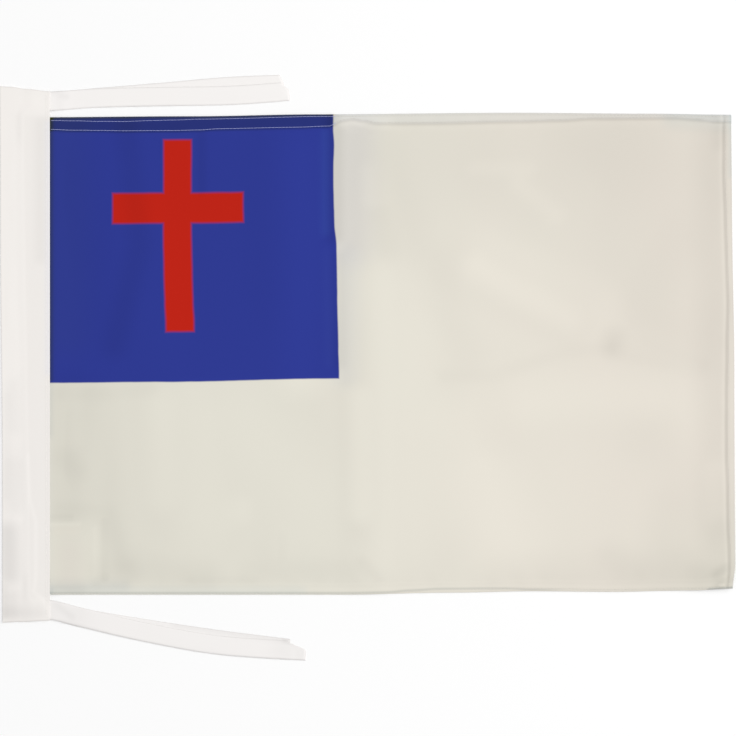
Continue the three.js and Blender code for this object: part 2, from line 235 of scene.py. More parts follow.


# Where the cloth is darker or lighter: painted shade and light of its folds, creases and edges, shade of
# close layers under it, and what shows through
FIELD_STROKES = [
    stroke(
        "arc beside the patch",
        [(62, 122), (65, 97), (68, 72), (71, 47), (74, 28), (88, 17), (108, 12), (128, 11)], 17, -0.05,
    ),
    stroke("deepest part of the arc", [(68, 50), (77, 19)], 11, -0.03),
    stroke("hoist side below the canton", [(43, 125), (43, 53)], 24, -0.075),
    stroke("under the canton", [(38, 127), (94, 129)], 9, -0.03),
    stroke("close above the patch", [(33, 48.2), (45, 48.2)], 3, -0.05),
    stroke("blotch above the patch", [(38, 86), (50, 78)], 11, -0.03),
    stroke("top of the patch", [(32, 44.4), (50, 44.4)], 2.6, 0.045),
    stroke("middle of the patch", [(44, 27), (44, 12)], 14, -0.035, tint=(0.015, 0, 0.01)),
    stroke("light beside the tape", [(31.8, 97), (31.8, 6)], 3.4, 0.06, tint=(0.01, 0, -0.01)),
    stroke("light under the canton's corner", [(47, 127), (47, 98)], 10, 0.03),
    stroke("shade above the patch", [(38, 54), (57, 52)], 9, -0.03),
    stroke("fly side of the patch", [(60.5, 42), (60.5, 12)], 3, 0.03),
    stroke("close beside the patch", [(65.5, 46), (66, 10)], 4, -0.045),
    stroke("hem below the patch", [(33, 5.5), (78, 5.5)], 7, -0.065, tint=(-0.01, 0, 0.02)),
    stroke("bottom hem at the tape", [(33, 3), (52, 3)], 5, -0.05),
    stroke("hoist end of the bottom hem", [(33, 3), (190, 2.6)], 5, -0.025, tint=(-0.02, 0, 0.02)),
    stroke("above the bottom hem, hoist side", [(120, 9), (160, 9)], 5, -0.025),
    stroke("spot beside the patch", [(65, 11), (67, 11)], 4, -0.03),
    stroke("foot of the arc", [(66, 14), (80, 13)], 15, -0.055),
    stroke("above the bottom hem", [(157, 14), (220, 15.5)], 12, -0.025),
    stroke("thin upright shade", [(177.4, 37.5), (177.4, 22)], 3.5, -0.02),
    stroke("light hoist half", [(151, 112), (196, 60)], 44, 0.022),
    stroke("light above the bottom hem", [(151, 54), (151, 52)], 14, 0.03),
    stroke("light beside the arc", [(100, 118), (102, 62)], 17, 0.03),
    stroke("foot of the packing crease", [(227, 20), (237, 10)], 7, -0.035),
    stroke("beside the canton, upper", [(226, 292), (224, 222)], 25, -0.06),
    stroke("beside the canton, lower", [(218, 217), (217, 135)], 8, -0.03),
    # a bluish tint beside the canton, neither lighter nor darker
    stroke("bluish tint beside the canton", [(222, 295), (220, 222)], 26, tint=(-0.01, -0.01, 0.04)),
    stroke("haze along the canton", [(218, 210), (216, 140)], 16, -0.005, tint=(-0.01, 0, 0.035)),
    stroke("edge of the canton, upper", [(210.5, 300), (210.8, 226)], 9, -0.13),
    stroke("edge of the canton, lower", [(212.5, 212), (213.5, 146)], 8, -0.07),
    stroke("light at the packing crease", [(231, 266), (231, 248)], 9, 0.025),
    stroke("light hem beside the canton", [(216, 299), (243, 298)], 8, 0.05),
    stroke("light narrow hem", [(215, 297.5), (228, 297)], 4, 0.05),
    stroke("upper fly half", [(252, 280), (440, 280)], 64, -0.03),
    stroke("upper fly corner", [(406, 292), (436, 236)], 50, -0.03),
    stroke("upper fly quarter", [(372, 280), (380, 230), (425, 175)], 62, -0.042),
    stroke("light patch", [(299, 268), (333, 268)], 9, 0.025),
    stroke("light patch, lower", [(327, 258), (349, 239)], 12, 0.03),
    stroke("shade by the packing crease", [(240, 238), (244, 216)], 12, -0.035),
    stroke("slanting shade", [(242, 280), (270, 204), (296, 150)], 20, -0.018),
    stroke("light wedge", [(298, 206), (324, 190), (358, 173)], 15, 0.038),
    stroke("long crease", [(276, 137), (309, 137), (346, 150), (385, 156)], 8, -0.02),
    stroke("end of the long crease", [(385, 153), (440, 142)], 9, -0.02),
    stroke("dimple", [(385, 156), (386, 161)], 13, -0.055),
    stroke("light middle", [(310, 185), (330, 60)], 80, 0.026),
    stroke("light beside the packing crease", [(250, 190), (252, 34)], 36, 0.04),
    stroke("light foot of the packing crease", [(225, 124), (226, 52)], 13, 0.055),
    stroke("light below the long crease", [(283, 110), (352, 125), (409, 125)], 26, 0.025),
    stroke("light lower middle", [(300, 76), (318, 32)], 42, 0.04),
    stroke("lower fly", [(409, 97), (440, 59)], 28, -0.02),
    stroke("lower fly, inner side", [(418, 56), (416, 20)], 22, -0.025),
    stroke("lower fly corner", [(460, 3), (464, 3)], 85, -0.065, tint=(-0.02, 0, -0.015)),
    stroke("lower fly hem", [(316, 8), (462, 11)], 26, -0.04),
    stroke("shade above the lower fly hem", [(384, 24), (398, 14)], 18, -0.035),
    stroke("beside the fly hem", [(450, 290), (450, 120), (453, 40)], 22, -0.07),
    stroke("light beside the fly hem", [(450, 78), (450, 52)], 12, 0.035),
    stroke("lower corner of the hems", [(452, 5.4), (459, 9)], 4.5, -0.06),
    stroke("edge at the lower fly corner", [(446, 3.6), (461, 4.4)], 1.5, -0.22, tint=(-0.02, 0, 0.03)),
    stroke("knot of the hems' threads", [(452.5, 6), (455, 6.2)], 1.5, 0.09),
    stroke("above the lower fly corner", [(438, 14), (450, 12)], 11, -0.035),
    stroke("below the top hem at the fly", [(452, 292), (452, 284)], 8, -0.045),
    stroke("light end of the top hem's line", [(444, 297.6), (461, 297.2)], 3, 0.07),
    stroke("upper corner of the hems", [(424, 301), (462, 299)], 13, -0.05, tint=(-0.04, 0, 0.02)),
    stroke("upper end of the fly hem", [(459.5, 300), (459.5, 264)], 3.5, -0.03, tint=(-0.03, 0, 0.02)),
    stroke("crease at the corner", [(450, 13), (456, 17)], 5, -0.08),
    stroke("canton, hoist side", [(79, 298), (88, 220), (72, 157)], 14, -0.08),
    stroke("canton, beside the cross", [(127, 289), (127, 254)], 5, -0.08),
    stroke("canton, fly side", [(189, 280), (189, 141)], 26, 0.06),
    stroke("canton beside the heading", [(40, 295), (40, 165)], 30, tint=(0.05, 0.04, -0.06)),
    stroke("thin ink, upper", [(204.5, 290), (204.5, 228)], 5, 0.05, tint=(0.1, 0.24, 0.03)),
    stroke("thin ink, lower", [(205.5, 215), (207, 145)], 5, 0.03, tint=(0.08, 0.08, 0)),
    stroke("warm upper patch", [(36, 40.5), (48, 40.5)], 5, 0.012, tint=(0.012, 0, 0)),
]
# Painted shade and light of the heading: along its fold and hollows, at its ends and over the margin's edge,
# and a bluish tint along its open edge
HEADING_STROKES = [
    stroke("light upper half", [(12, 312), (12, 145)], 9, 0.015),
    stroke("by the open edge, upper", [(25.6, 296), (25.6, 212)], 7, -0.045),
    stroke("lower half", [(6, 80), (6, -10)], 22, -0.025),
    stroke("beside the fold", [(4.5, 125), (4.5, 62)], 5, -0.03),
    stroke("hollow by the fold, upper", [(7, 131), (9, 105)], 8, -0.03),
    stroke("hollow by the fold, middle", [(9, 81), (8, 57)], 9, -0.03),
    stroke("hollow by the fold, lower", [(4.8, 39), (5.4, 13)], 11, -0.12),
    stroke("lower fold corner", [(7, -2), (7, -11)], 9, -0.07),
    stroke("above the lower end", [(5, -11.5), (24, -11.5)], 8, -0.07),
    stroke("bulge between the hollows", [(12, 48), (13, 48)], 5, 0.02),
    stroke("lower end of the fold", [(2.6, 4), (2.6, -13)], 4.5, -0.055),
    stroke("light upper end", [(20, 311), (29, 309)], 10, 0.02),
    stroke("bluish tint along the open edge", [(30.4, 296), (30.4, 140)], 4, tint=(-0.025, -0.01, 0.04)),
    stroke(
        "light over the edge of the margin",
        [(17.6, 88), (18.9, 59), (22.6, 46), (22.6, 12), (21.4, 1.6), (27.7, -3.4), (32, -13.5)],
        2.2, 0.035,
    ),
]
# Painted shade on the ties: at their roots and pinches, along the lower tie, and where one tail lies over the
# other
TIE_STROKES = [
    stroke("upper root", [(34, 316.8), (41.5, 313)], 4, -0.06),
    stroke("below the upper root", [(37, 312), (38, 306)], 4, -0.03),
    stroke("lower tie", [(34, -10), (53, -14.8), (93, -24), (138, -31.8), (191, -35.4)], 60, -0.015),
    stroke("lower root", [(34, -10), (46, -13)], 16, -0.04),
    stroke("end of the lower over tail", [(178, -35), (192, -38)], 14, -0.035),
    stroke("pinch at the lower root", [(36, -6.5), (45, -14)], 4, -0.05),
    stroke("edge beside the lower root", [(37.7, -16), (68, -24.5)], 2, -0.04),
    stroke("end of the lower under tail", [(110, -18), (150, -24), (182, -28.5)], 4.5, -0.06),
    stroke("tip of the lower under tail", [(179, -29), (182, -30)], 3, -0.06),
]

# Ties: middle line of each tail, and how much its outer corner is cut back
TIES = {
    "upper_tie": dict(
        under=[(TIE_ROOT_X, 310.2), (36, 310.5), (62, 312.6), (102, 315.9), (142, 319.4), (178.5, 321)],
        over=[(TIE_ROOT_X, 310.2), (36, 310.5), (62, 312.3), (102, 313.2), (146, 314), (182, 316.6)],
        cut_back=dict(under=2.2, over=4.6),
    ),
    "lower_tie": dict(
        under=[(TIE_ROOT_X, -8.8), (34, -10), (53, -14.9), (93, -21.7), (138, -28.4), (182.6, -34)],
        over=[(TIE_ROOT_X, -8.8), (34, -10), (53, -14.8), (93, -24), (138, -31.8), (192.5, -35.5)],
        cut_back=dict(under=0.8, over=12.5),
    ),
}


# Helpers for places


def lerp(low, high, share):
    return low + (high - low) * share


def smooth(low, high, at):
    """0 below low, 1 above high, and an eased slope between them."""
    share = min(1, max(0, (at - low) / (high - low)))
    return share * share * (3 - 2 * share)


def follow(rows, at):
    """Value of a table at a place, eased between its rows."""
    if at <= rows[0][0]:
        return rows[0][1]
    for (start, low), (end, high) in zip(rows, rows[1:]):
        if at < end:
            return lerp(low, high, smooth(start, end, at))
    return rows[-1][1]


def lines(start, *spans):
    """Grid lines from start on. Each span gives where it ends and the width of its cells."""
    made = [start]
    for end, cell in spans:
        begin = made[-1]
        count = max(1, round((end - begin) / cell))
        made += [lerp(begin, end, (k + 1) / count) for k in range(count)]
    return made


def from_line(line, x, y):
    """Distance of a place from the nearest point of a line of straight stretches."""
    nearest = math.inf
    for (x1, y1), (x2, y2) in zip(line, line[1:]):
        along_x, along_y = x2 - x1, y2 - y1
        share = ((x - x1) * along_x + (y - y1) * along_y) / (along_x**2 + along_y**2)
        share = min(1, max(0, share))
        nearest = min(nearest, math.hypot(x - x1 - share * along_x, y - y1 - share * along_y))
    return nearest


def strength(soft, x, y):
    """1 on the line of a soft fold or stroke, easing to 0 at half its width."""
    return 1 - smooth(0, soft["half"], from_line(soft["line"], x, y))


def summed(folds, x, y):
    """What soft folds add up to at a place."""
    return sum(soft["height"] * strength(soft, x, y) for soft in folds)


def toning(strokes, x, y):
    """What soft strokes do to the colour of cloth at a place, as shares of its red, green and blue."""
    change = Vector()
    for soft in strokes:
        change += strength(soft, x, y) * soft["shade"]
    return change


def in_metres(x, y, z):
    """A place on the flag in the frame, z from the flag's back."""
    return Vector((HEADING_LEFT + x / 1000, FIELD_BOTTOM + y / 1000, (z + STITCH_ROOM) / 1000))


# Helpers for cloth


def lay_sheet(name, columns, rows, place, thickness, face, back, tone):
    """A sheet of cloth woven as a grid of columns by rows, in millimetres along the cloth.

    place gives where a point of the cloth lies, tone what painted light and shade and what shows through do
    there to its red, green and blue, as shares."""
    bm = bmesh.new()
    across, along = len(columns) - 1, len(rows) - 1
    bmesh.ops.create_grid(bm, x_segments=across, y_segments=along, size=1)
    woven = bm.loops.layers.uv.new("cloth")
    shade = bm.verts.layers.float_vector.new("shade")
    cut = {}
    for vert in bm.verts:
        column = columns[round((vert.co.x + 1) / 2 * across)]
        row = rows[round((vert.co.y + 1) / 2 * along)]
        cut[vert] = (column, row)
        x, y, z = place(column, row)
        vert[shade] = tone(column, row, x, y)
        vert.co = in_metres(x, y, z)
    for bm_face in bm.faces:
        bm_face.smooth = True
        for loop in bm_face.loops:
            column, row = cut[loop.vert]
            loop[woven].uv = (column / 1000, row / 1000)
    return sheet_piece(name, bm, thickness, face, back)


def mesh_of(name, bm):
    mesh = bpy.data.meshes.new(name)
    bm.to_mesh(mesh)
    bm.free()
    return mesh


def put(name, data):
    """A new object in the scene."""
    made = bpy.data.objects.new(name, data)
    bpy.context.scene.collection.objects.link(made)
    return made


def sheet_piece(name, bm, thickness, face, back):
    """The sheet as a piece with its thickness, half of it on each side of the mesh."""
    mesh = mesh_of(name, bm)
    mesh.materials.append(face)
    mesh.materials.append(back)
    piece = put(name, mesh)
    loft = piece.modifiers.new("thickness", "SOLIDIFY")
    loft.thickness = thickness / 1000
    loft.offset = 0
    loft.use_even_offset = True
    loft.material_offset = 1
    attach(piece, "root")
    return piece


def turn_under(at, edge, radius, width=1, depth=0):
    """Place and depth of a point of cloth whose edge is turned under.

    The cloth runs to the edge and then back below itself. width is the hem's width here as a share of what
    was cut for it, and depth how far below the top layer the point already lies, as part of another hem."""
    start = edge - CLOTH / 2 - radius
    past = at - start
    if past <= 0:
        return at, depth
    angle = min(past / radius, math.pi)
    bend = radius - depth
    back = width * max(0, past - math.pi * radius)
    return start + bend * math.sin(angle) - back, radius - bend * math.cos(angle)


def raw_edge(edge, hem, radius):
    """Where the cloth ends, measured along it, so that its hem has that width."""
    return edge + hem - CLOTH + radius * (math.pi - 2)


# Materials


def linear(colour):
    """Linear RGBA of an sRGB hex value."""
    parts = [int(colour[k : k + 2], 16) / 255 for k in (1, 3, 5)]
    return (*[p / 12.92 if p <= 0.04045 else ((p + 0.055) / 1.055) ** 2.4 for p in parts], 1)


def add(tree, kind, sockets=None, **settings):
    """A node with its settings. A socket gets a value, or a link from a socket or a node's first output."""
    node = tree.nodes.new(kind)
    for name, value in settings.items():
        setattr(node, name, value)
    for socket, value in (sockets or {}).items():
        if isinstance(value, bpy.types.Node):
            value = value.outputs[0]
        if isinstance(value, bpy.types.NodeSocket):
            tree.links.new(value, node.inputs[socket])
        else:
            node.inputs[socket].default_value = value
    return node


def new_finish(name, roughness, sheen, specular):
    """A material with its shader, ready for colour and relief."""
    material = bpy.data.materials.new(name)
    material.use_nodes = True
    tree = material.node_tree
    shader = tree.nodes["Principled BSDF"]
    shader.inputs["Roughness"].default_value = roughness
    shader.inputs["Specular IOR Level"].default_value = specular
    shader.inputs["Sheen Weight"].default_value = sheen
    return material, tree, shader


def weave_relief(tree, pitch, relief, slub):
    """Normal of a plain weave: threads cross over and under at the pitch, some thicker than others."""
    cloth = add(tree, "ShaderNodeUVMap", uv_map="cloth")
    turns = add(tree, "ShaderNodeVectorMath", {0: cloth, "Scale": 1000 * math.pi / pitch}, operation="SCALE")
    waves = add(tree, "ShaderNodeVectorMath", {0: turns}, operation="SINE")
    parts = add(tree, "ShaderNodeSeparateXYZ", {0: waves})
    crossings = add(tree, "ShaderNodeMath", {0: parts.outputs[0], 1: parts.outputs[1]}, operation="MULTIPLY")
    uneven = add(tree, "ShaderNodeTexNoise", {"Vector": cloth, "Scale": 1000 / slub, "Detail": 3})
    height = add(tree, "ShaderNodeMath", {0: crossings, 1: 0.5, 2: uneven}, operation="MULTIPLY_ADD")
    bump = add(tree, "ShaderNodeBump", {"Strength": 1, "Distance": relief / 1000, "Height": height})
    return bump.outputs[0]


def toned(tree, colour):
    """The colour with the painted light and shade, and what shows through, that the sheet carries."""
    tone = add(tree, "ShaderNodeAttribute", attribute_name="shade").outputs["Vector"]
    sockets = {0: colour, 1: tone, 2: colour}
    return add(tree, "ShaderNodeVectorMath", sockets, operation="MULTIPLY_ADD").outputs[0]


def block(tree, cloth, part, edge):
    """1 inside a rectangle of the cloth and 0 outside, fading over its edge."""
    middle = ((part["left"] + part["right"]) / 2000, (part["bottom"] + part["top"]) / 2000, 0)
    half = ((part["right"] - part["left"]) / 2000, (part["top"] - part["bottom"]) / 2000, 1)
    away = add(tree, "ShaderNodeVectorMath", {0: cloth, 1: middle}, operation="SUBTRACT")
    away = add(tree, "ShaderNodeVectorMath", {0: away}, operation="ABSOLUTE")
    past = add(tree, "ShaderNodeVectorMath", {0: away, 1: half}, operation="SUBTRACT")
    past = add(tree, "ShaderNodeSeparateXYZ", {0: past})
    past = add(tree, "ShaderNodeMath", {0: past.outputs[0], 1: past.outputs[1]}, operation="MAXIMUM")
    fade = {"Value": past, "From Min": edge / 1000, "From Max": -edge / 1000}
    return add(tree, "ShaderNodeMapRange", fade, interpolation_type="SMOOTHSTEP")


# Printed polyester: thin plain-woven cloth, heat-transfer printed. Matt, with soft ink edges that follow the
# threads, and the ink goes through to the back a little paler. The real threads are about 0.15 mm apart,
# too fine for the render, and are drawn 1.9 mm apart.
def printed_polyester(name, undyed, blue, red):
    material, tree, shader = new_finish(name, roughness=0.85, sheen=0.04, specular=0.15)
    cloth = add(tree, "ShaderNodeUVMap", uv_map="cloth")
    wander = add(tree, "ShaderNodeTexNoise", {"Vector": cloth, "Scale": 1000 / INK_STRAYS_OVER, "Detail": 3})
    drift = {0: wander.outputs[1], 1: (0.5, 0.5, 0.5)}
    drift = add(tree, "ShaderNodeVectorMath", drift, operation="SUBTRACT")
    drift = add(tree, "ShaderNodeVectorMath", {0: drift, "Scale": INK_STRAYS / 1000}, operation="SCALE")
    inked = add(tree, "ShaderNodeVectorMath", {0: cloth, 1: drift}, operation="ADD")
    canton = block(tree, inked, CANTON, CANTON_INK_EDGE)
    upright = block(tree, inked, UPRIGHT, CROSS_INK_EDGE)
    arm = block(tree, inked, ARM, CROSS_INK_EDGE)
    cross = add(tree, "ShaderNodeMath", {0: upright, 1: arm}, operation="MAXIMUM")
    along = add(tree, "ShaderNodeSeparateXYZ", {0: cloth})
    cloudy = add(tree, "ShaderNodeTexNoise", {"Vector": cloth, "Scale": 1000 / HUE_CLOUD, "Detail": 2})
    along = {0: cloudy, 1: HUE_STRAYS / 1000, 2: along}
    along = add(tree, "ShaderNodeMath", along, operation="MULTIPLY_ADD")
    turn = {"Value": along, "From Min": HUE_START / 1000, "From Max": HUE_END / 1000}
    pinker = add(tree, "ShaderNodeMapRange", turn)
    colour = linear(undyed[0])
    for share, ink in ((pinker, undyed[1]), (canton, blue), (cross, red)):
        laid = add(tree, "ShaderNodeMix", {0: share, 6: colour, 7: linear(ink)}, data_type="RGBA")
        colour = laid.outputs[2]
    tree.links.new(toned(tree, colour), shader.inputs["Base Color"])
    tree.links.new(weave_relief(tree, pitch=1.9, relief=0.006, slub=3), shader.inputs["Normal"])
    return material


# White polyester tape: plain-woven, closer and whiter than the field, with a firm hand and little gloss.
def woven_tape(name, colour, roughness, sheen, pitch, relief):
    material, tree, shader = new_finish(name, roughness=roughness, sheen=sheen, specular=0.2)
    tree.links.new(toned(tree, linear(colour)[:3]), shader.inputs["Base Color"])
    tree.links.new(weave_relief(tree, pitch=pitch, relief=relief, slub=5), shader.inputs["Normal"])
    return material


def plain(name, colour, roughness, sheen, specular):
    """A smooth material of one colour."""
    material, _, shader = new_finish(name, roughness, sheen, specular)
    shader.inputs["Base Color"].default_value = linear(colour)
    return material


field_face = printed_polyester("printed polyester, face", ("#dfdcd0", "#e2dbd0"), "#293690", "#bc1c08")
field_back = printed_polyester("printed polyester, back", ("#e2ddd2", "#e4dcd2"), "#46509c", "#c4463a")
heading_cloth = woven_tape("heading tape", "#f2eeea", roughness=0.75, sheen=0.05, pitch=2, relief=0.006)
tie_cloth = woven_tape("tie tape", "#f4f1ef", roughness=0.6, sheen=0.08, pitch=1.9, relief=0.005)
# Bare label cloth: satin-woven polyester, smooth and faintly glossy
patch_cloth = plain("label cloth", "#f2f0ec", roughness=0.5, sheen=0.05, specular=0.3)


# Spun polyester thread: white, matt, with a fine fuzz that the sheen stands for. It was sewn before the
# cloth was printed, so it has taken some of the canton's ink.
def sewing_thread():
    material, tree, shader = new_finish("polyester thread", roughness=0.7, sheen=0.1, specular=0.2)
    place = add(tree, "ShaderNodeTexCoord").outputs["Object"]
    corner = (HEADING_LEFT, FIELD_BOTTOM, 0)
    place = add(tree, "ShaderNodeVectorMath", {0: place, 1: corner}, operation="SUBTRACT")
    inked = block(tree, place, CANTON, CANTON_INK_EDGE)
    colours = {0: inked, 6: linear("#dcd8d0"), 7: linear("#bcc2f4")}
    colour = add(tree, "ShaderNodeMix", colours, data_type="RGBA")
    tree.links.new(colour.outputs[2], shader.inputs["Base Color"])
    return material


hem_thread = sewing_thread()
# The same thread in the heading, sewn after the printing: clean white
tape_thread = plain("polyester thread, heading", "#f4f1ed", roughness=0.7, sheen=0.1, specular=0.2)
# Matt white paper
floor_finish = plain("white paper", "#fcfcfc", roughness=0.9, sheen=0, specular=0.1)


# Field


def hem_turn(x):
    """Radius of the top and bottom hems' turned edges, larger where they enclose the fly hem."""
    inside = FLY_X - FLY_HEM
    return lerp(TURN, CORNER_TURN, smooth(inside - CORNER_NEAR, inside - CORNER_FULL, x))


def hem_rise(x, y):
    """How far the top layer stands above a single one because of the hems under it."""

    def step(width, inwards):
        return 1 - smooth(width, width + HEM_SLOPE, inwards)

    fly = 2 * TURN * step(follow(FLY_HEM_WIDTH, y), FLY_X - x)
    top = 2 * hem_turn(x) * step(follow(TOP_HEM_WIDTH, x), FIELD_TOP - y)
    bottom = 2 * hem_turn(x) * step(BOTTOM_HEM, y)
    return max(fly, top, bottom)


def field_lift(x, y):
    """How far the folds, the heading and the patch hold the cloth off the surface."""
    hoist = (TAPE + AIR) * (1 - smooth(LEDGE_X, FLOOR_X, x))
    past = max(x - PATCH["right"] - PATCH_RIM, y - PATCH["top"] - PATCH_RIM, 0) / PATCH_SLOPE
    patch = (CLOTH + AIR) * smooth(0, BOTTOM_HEM, y) * (1 - smooth(0, 1, past))
    from_dimple = math.hypot(x - DIMPLE["place"][0], y - DIMPLE["place"][1]) / DIMPLE["radius"]
    folds = summed(RIDGES, x, y) * (1 - math.exp(-(from_dimple**2)))
    from_corner = math.hypot(x - LIFTED_CORNER["place"][0], y - LIFTED_CORNER["place"][1])
    corner = LIFTED_CORNER["rise"] * (1 - smooth(0, LIFTED_CORNER["reach"], from_corner))
    held = max(hoist, patch, corner)
    return max(held, folds + slack(x, y) - summed(CREASES, x, y))


def slack(x, y):
    """Slow unevenness of cloth that isn't pulled flat."""
    clear = smooth(FLOOR_X, FLOOR_X + SLACK["past_floor"], x)
    clear *= smooth(0, SLACK["past_edge"], min(y, FIELD_TOP - y, FLY_X - x))
    wave = noise.noise(Vector((x / SLACK["across"], y / SLACK["along"], 8)))
    return SLACK["height"] * clear * (0.6 + wave)


def pucker(x, y):
    """Small waves that the seams draw into the cloth beside them."""
    clear = smooth(LEDGE_X, FLOOR_X, x)
    from_seam = min(
        abs(FIELD_TOP - y - follow(TOP_HEM_WIDTH, x)),
        abs(y - BOTTOM_HEM),
        abs(FLY_X - x - follow(FLY_HEM_WIDTH, y)),
    )
    wave = noise.noise(Vector((x / PUCKER["size"], y / PUCKER["size"], 3)))
    beside = 1 - smooth(PUCKER["full"], PUCKER["gone"], from_seam)
    return PUCKER["height"] * clear * max(0, 0.5 + wave) * beside


def drawn_in(x, y):
    """How deep the seams draw the top layer in."""
    top = groove(FIELD_TOP - y - follow(TOP_SEAM, x))
    top += groove(FIELD_TOP - y - follow(TOP_HEM_WIDTH, x) + SEAM_INSIDE)
    fly = groove(FLY_X - x - follow(FLY_HEM_WIDTH, y) + SEAM_INSIDE)
    return SEAM_DEPTH * min(1, top + fly + groove(y - follow(BOTTOM_SEAM, x)))


def groove(offset, width=0.6):
    """1 along a seam and 0 away from it."""
    return math.exp(-((offset / width) ** 2))


def warp(guides, at):
    """Where a place lies once the cloth is warped: it moves with the guides on both its sides."""
    pairs = list(zip(guides, guides[1:]))
    (low, low_now), (high, high_now) = next((pair for pair in pairs if pair[1][0] >= at), pairs[-1])
    return lerp(low_now, high_now, (at - low) / (high - low))


def on_flag(x, y):
    """Where a place of the squared-up field lies in its warped outline."""
    upright = (UPRIGHT["left"] + UPRIGHT["right"]) / 2
    guides = [
        (MARGIN_X, follow(MARGIN_EDGE, y)), (LEDGE_X, LEDGE_X), (upright, follow(UPRIGHT_MIDDLE, y)),
        (CANTON["right"], follow(CANTON_EDGE, y)), (FLY_X, follow(FLY_EDGE, y)),
    ]
    x = warp(guides, x)
    canton_bottom = (CANTON["bottom"], follow(CANTON_BOTTOM, x))
    guides = [(0, follow(BOTTOM_EDGE, x)), canton_bottom, (FIELD_TOP, follow(TOP_EDGE, x))]
    return x, warp(guides, y)


def field_surface(x, y):
    """Middle of the top layer at a place of the squared-up field."""
    flag_x, flag_y = on_flag(x, y)
    height = CLOTH / 2 + hem_rise(x, y) + field_lift(flag_x, flag_y) + pucker(x, y) - drawn_in(x, y)
    return flag_x, flag_y, height


def place_field(column, row):
    """Where a point of the field lies, with its hems turned under."""
    x, depth = turn_under(column, FLY_X, TURN, follow(FLY_HEM_WIDTH, row) / FLY_HEM)
    radius = hem_turn(x)
    width = follow(TOP_HEM_WIDTH, x) / TOP_HEM
    y, depth = turn_under(row, FIELD_TOP, radius, width, depth)
    if row < FIELD_TOP / 2:
        low, depth = turn_under(-row, 0, radius, BOTTOM_HEM_SHARE, depth)
        y = -low
    flag_x, flag_y, height = field_surface(x, y)
    if depth > TURN:  # the seams draw in the top layer alone
        height += drawn_in(x, y)
    return flag_x, flag_y, height - depth


def field_tone(column, row, x, y):
    """What strokes, hems and edges do to the field's colour."""
    tone = toning(FIELD_STROKES, x, y)
    from_top = FIELD_TOP - row
    from_fly = FLY_X - column
    top_width, fly_width = follow(TOP_HEM_WIDTH, column), follow(FLY_HEM_WIDTH, row)
    beside_tape = 1 - smooth(OPEN_X, OPEN_X + TAPE_SHADE, column)
    if column < CANTON["right"] and row > CANTON["bottom"]:
        tone += TOP_HEM_BLUE * (1 - smooth(top_width, top_width + 0.8, from_top))
        tone += TOP_EDGE_BLUE * groove(from_top - 0.4, 1.1)
        tone += BESIDE_TAPE_BLUE * beside_tape
    else:
        tone += HEM_WHITE * (1 - smooth(top_width - 0.6, top_width + 0.4, from_top))
        tone += HEM_LINE * groove(from_top - top_width, TOP_LINE_WIDTH)
        tone += EDGE_LINE * groove(from_top, TOP_LINE_WIDTH)
        tone += BESIDE_TAPE * beside_tape
    tone += FLY_LINE * groove(from_fly - fly_width, FLY_LINE_WIDTH)
    tone += EDGE_LINE * groove(from_fly, FLY_LINE_WIDTH)
    bottom_line = groove(row - follow(BOTTOM_LINE_AT, column), BOTTOM_LINE_WIDTH)
    tone += BOTTOM_LINE * follow(BOTTOM_LINE_SHARE, column) * bottom_line
    light = 0
    places = from_top - top_width, from_fly - fly_width, from_fly, row
    for (lift, at, width), across in zip(LIGHT_BANDS, places):
        light += lift * groove(across - at, width)
    return tone + Vector((light,) * 3)


def make_field():
    fly_end = raw_edge(FLY_X, FLY_HEM, TURN)
    top_end = raw_edge(FIELD_TOP, TOP_HEM, TURN)
    bottom_end = -raw_edge(0, BOTTOM_HEM, TURN)
    bend = 2 * CORNER_TURN + CLOTH
    columns = lines(
        MARGIN_X, (FLOOR_X, HOIST_CELL), (FLY_X - FLY_HEM - FINE_FLY, CELL), (FLY_X - bend, FINE_CELL),
        (FLY_X + FLY_TURN, FLY_TURN_CELL), (fly_end, HIDDEN_CELL),
    )
    rows = lines(
        bottom_end, (-TOP_TURN, HIDDEN_CELL), (bend, TURN_CELL), (BOTTOM_HEM + FINE_BOTTOM, FINE_CELL),
        (FIELD_TOP - TOP_HEM - FINE_TOP, CELL), (FIELD_TOP - bend, FINE_CELL),
        (FIELD_TOP + TOP_TURN, TURN_CELL), (top_end, HIDDEN_CELL),
    )
    field = lay_sheet("field_cloth", columns, rows, place_field, CLOTH, field_face, field_back, field_tone)
    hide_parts("field")
    return field, (fly_end - MARGIN_X, top_end - bottom_end)


# Heading


def tape_spread(x, y):
    """Distance between the middles of the heading's two layers."""
    edge = follow(SEWN_EDGE, y)
    sewn = follow(SEWN_IN, y)
    share = min(1, max(0, (x - 2) / (edge - 6)))
    wave = noise.noise(Vector((x / TAPE_WAVE["across"], y / TAPE_WAVE["along"], 1)))
    loose = 2 * HEADING_TURN + TAPE_WAVE["height"] * (wave - 0.5) * math.sin(math.pi * share)
    return lerp(loose, sewn, smooth(edge - 0.5 - follow(SEWN_STEP, y), edge - 0.5, x))


def heading_surface(x, y):
    """Middle of the heading's upper layer."""
    return x, y, TAPE / 2 + tape_spread(x, y)


def place_heading(column, row):
    """column runs along the cloth, from the fold to the open edge: minus for the lower layer."""
    middle = follow(FOLDED_EDGE, row) + TAPE / 2 + HEADING_TURN
    turned = min(1, max(-1, column / HEADING_QUARTER))
    flat = max(0, abs(column) - HEADING_QUARTER)
    x = lerp(middle, OPEN_X, flat / HEADING_WIDTH) - HEADING_TURN * math.cos(turned * math.pi / 2)
    along = (row - HEADING_ROWS[0]) / (HEADING_ROWS[-1] - HEADING_ROWS[0])
    y = lerp(follow(TAPE_BOTTOM, x), follow(TAPE_TOP, x), along)
    if flat == 0:
        return x, y, TAPE / 2 + HEADING_TURN * (1 + math.sin(turned * math.pi / 2))
    return (x, y, TAPE / 2) if column < 0 else heading_surface(x, y)


HEADING_ROWS = lines(-17, (-8, 1), (14, 1.2), (286, 1.7), (308, 1.2), (318.4, 1))


